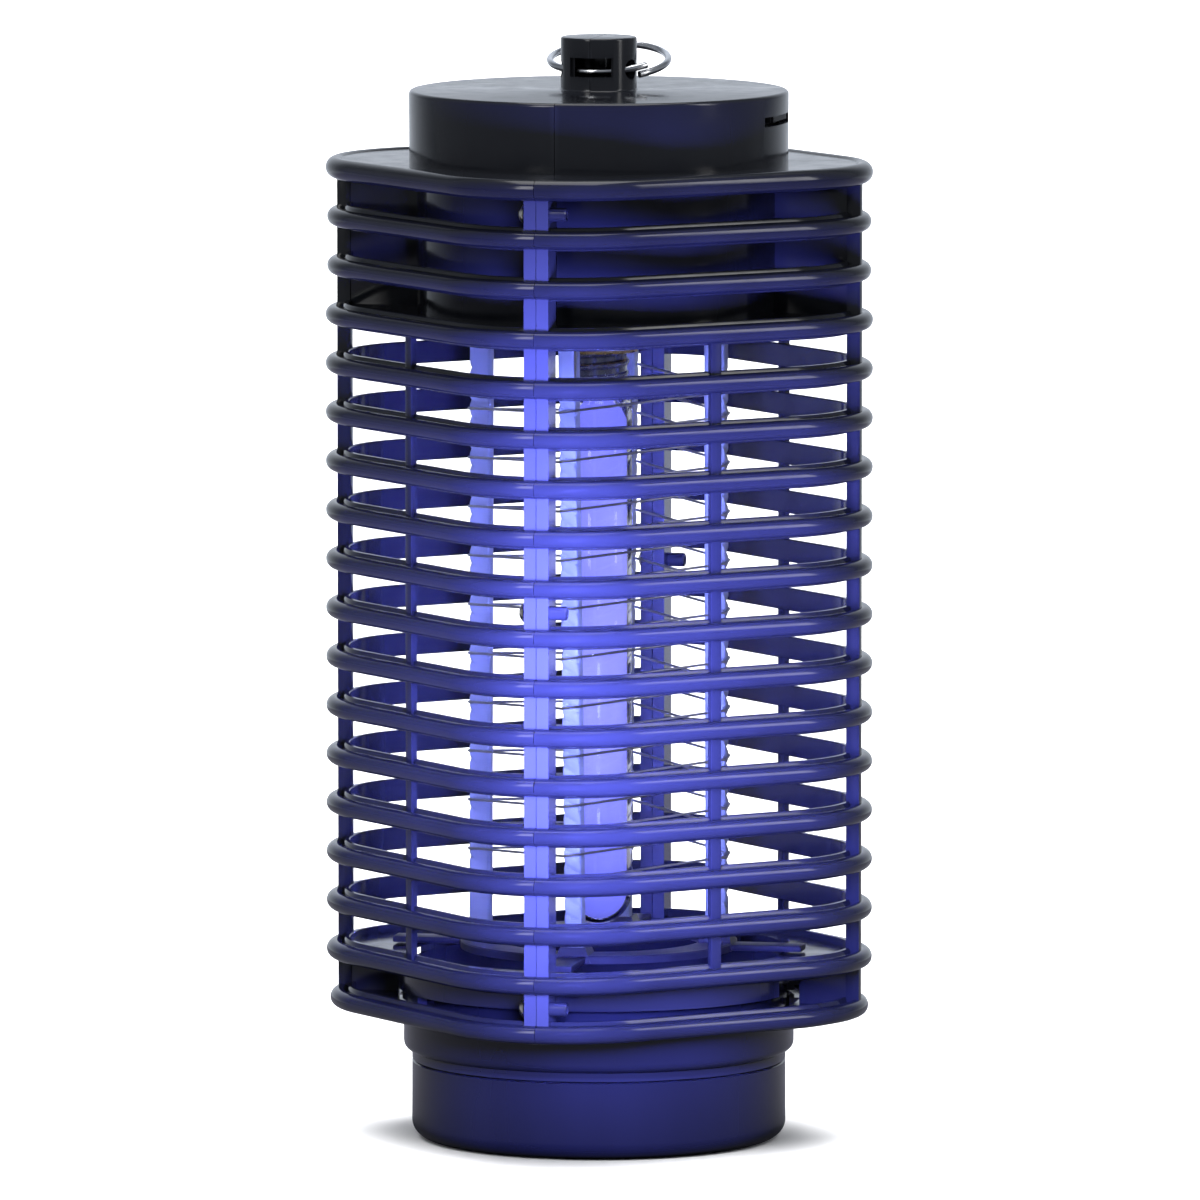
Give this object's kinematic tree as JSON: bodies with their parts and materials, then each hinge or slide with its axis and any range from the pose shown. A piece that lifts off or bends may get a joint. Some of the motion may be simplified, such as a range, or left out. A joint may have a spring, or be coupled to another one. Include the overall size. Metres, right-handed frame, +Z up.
{
  "type": "electric bug zapper",
  "caption": "Hanging lantern bug zapper: a black ring cage round an ultraviolet tube and a wound live wire grid, with a drum top, a hanger ring and a twist-off catch tray.",
  "frame": {"origin": "centre of the catch cup's underside", "axes": "+Z up along the lamp; the seam between the cage halves lies in x = 0, with a cage corner on each of +-X and +-Y"},
  "size_m": [0.1254, 0.1254, 0.25],
  "materials": {
    "cage_plastic": "glossy black moulded plastic",
    "tray_plastic": "satin-gloss black moulded plastic",
    "knob_plastic": "matt black, ribbed",
    "frame_plastic": "matt black, flame-retardant",
    "post_plastic": "satin white, tinted by the lamp",
    "ceramic": "glazed white",
    "lamp_insulator": "dark vitrite",
    "lamp_glass": "clear tube, violet-blue glow",
    "lamp_stem_glass": "clear glass stem",
    "brass": "bright rolled brass",
    "solder": "dull solder",
    "grid_steel": "bright wire",
    "ring_steel": "nickel-plated wire",
    "screw_steel": "zinc-plated",
    "board": "green solder mask",
    "choke": "varnished laminations",
    "capacitor": "dipped resin",
    "diode": "moulded epoxy",
    "resistor": "lacquered",
    "fuse_glass": "clear glass with metal ends",
    "terminal": "green polyamide",
    "rubber": "matt black",
    "lead_red": "silicone sleeve",
    "lead_black": "silicone sleeve"
  },
  "bodies": {
    "cage": {"bleed_resistor_1": "resistor", "bleed_resistor_2": "resistor", "board_screw_left": "screw_steel", "board_screw_right": "screw_steel", "cage_left_half": "cage_plastic", "cage_right_half": "cage_plastic", "circuit_board": "board", "cord_inlet_bush": "rubber", "film_capacitor_1": "capacitor", "film_capacitor_2": "capacitor", "film_capacitor_3": "capacitor", "film_capacitor_4": "capacitor", "frame_screw_left": "screw_steel", "frame_screw_right": "screw_steel", "fuse": "fuse_glass", "grid_frame_lower": "frame_plastic", "grid_frame_upper": "frame_plastic", "grid_lead_live": "lead_red", "grid_lead_return": "lead_black", "grid_post_back": "post_plastic", "grid_post_front": "post_plastic", "grid_post_left": "post_plastic", "grid_post_right": "post_plastic", "grid_wire_live": "grid_steel", "grid_wire_return": "grid_steel", "lamp_choke": "choke", "lamp_lead_live": "lead_red", "lamp_lead_neutral": "lead_black", "lamp_socket": "ceramic", "rectifier_diode_1": "diode", "rectifier_diode_2": "diode", "rectifier_diode_3": "diode", "rectifier_diode_4": "diode", "seam_screw_back_bottom": "screw_steel", "seam_screw_back_middle": "screw_steel", "seam_screw_back_top": "screw_steel", "seam_screw_front_bottom": "screw_steel", "seam_screw_front_middle": "screw_steel", "seam_screw_front_top": "screw_steel", "socket_centre_contact": "brass", "socket_sleeve": "brass", "switch_body": "frame_plastic", "terminal_block": "terminal"},
    "hanger": {"hanger_ring": "ring_steel"},
    "lamp": {"lamp_tube": "lamp_glass", "lamp_stem": "lamp_stem_glass", "lamp_cap": "brass", "lamp_cap_insulator": "lamp_insulator", "lamp_end_contact": "solder"},
    "switch": {"switch_knob": "knob_plastic"},
    "tray_lock": {"tray_collar": "tray_plastic"},
    "catch_cup": {"tray_cup": "tray_plastic"}
  },
  "joints": [
    {"name": "hanger_swing", "type": "hinge", "parent": "cage", "child": "hanger", "pos_m": [0, -0.0025, 0.24285], "axis": [1, 0, 0], "range_deg": [-17, 178]},
    {"name": "lamp_unscrew", "type": "hinge", "parent": "cage", "child": "lamp", "pos_m": [0, 0, 0.18], "axis": [0, 0, -1], "range_deg": [0, 1800]},
    {"name": "switch_slide", "type": "slide", "parent": "cage", "child": "switch", "axis": [0, -1, 0], "range_m": [0, 0.007]},
    {"name": "tray_twist", "type": "hinge", "parent": "cage", "child": "tray_lock", "pos_m": [0, 0, 0.03], "axis": [0, 0, -1], "range_deg": [0, 30]},
    {"name": "tray_pull", "type": "slide", "parent": "tray_lock", "child": "catch_cup", "axis": [0, 0, -1], "range_m": [0, 0.035]}
  ]
}
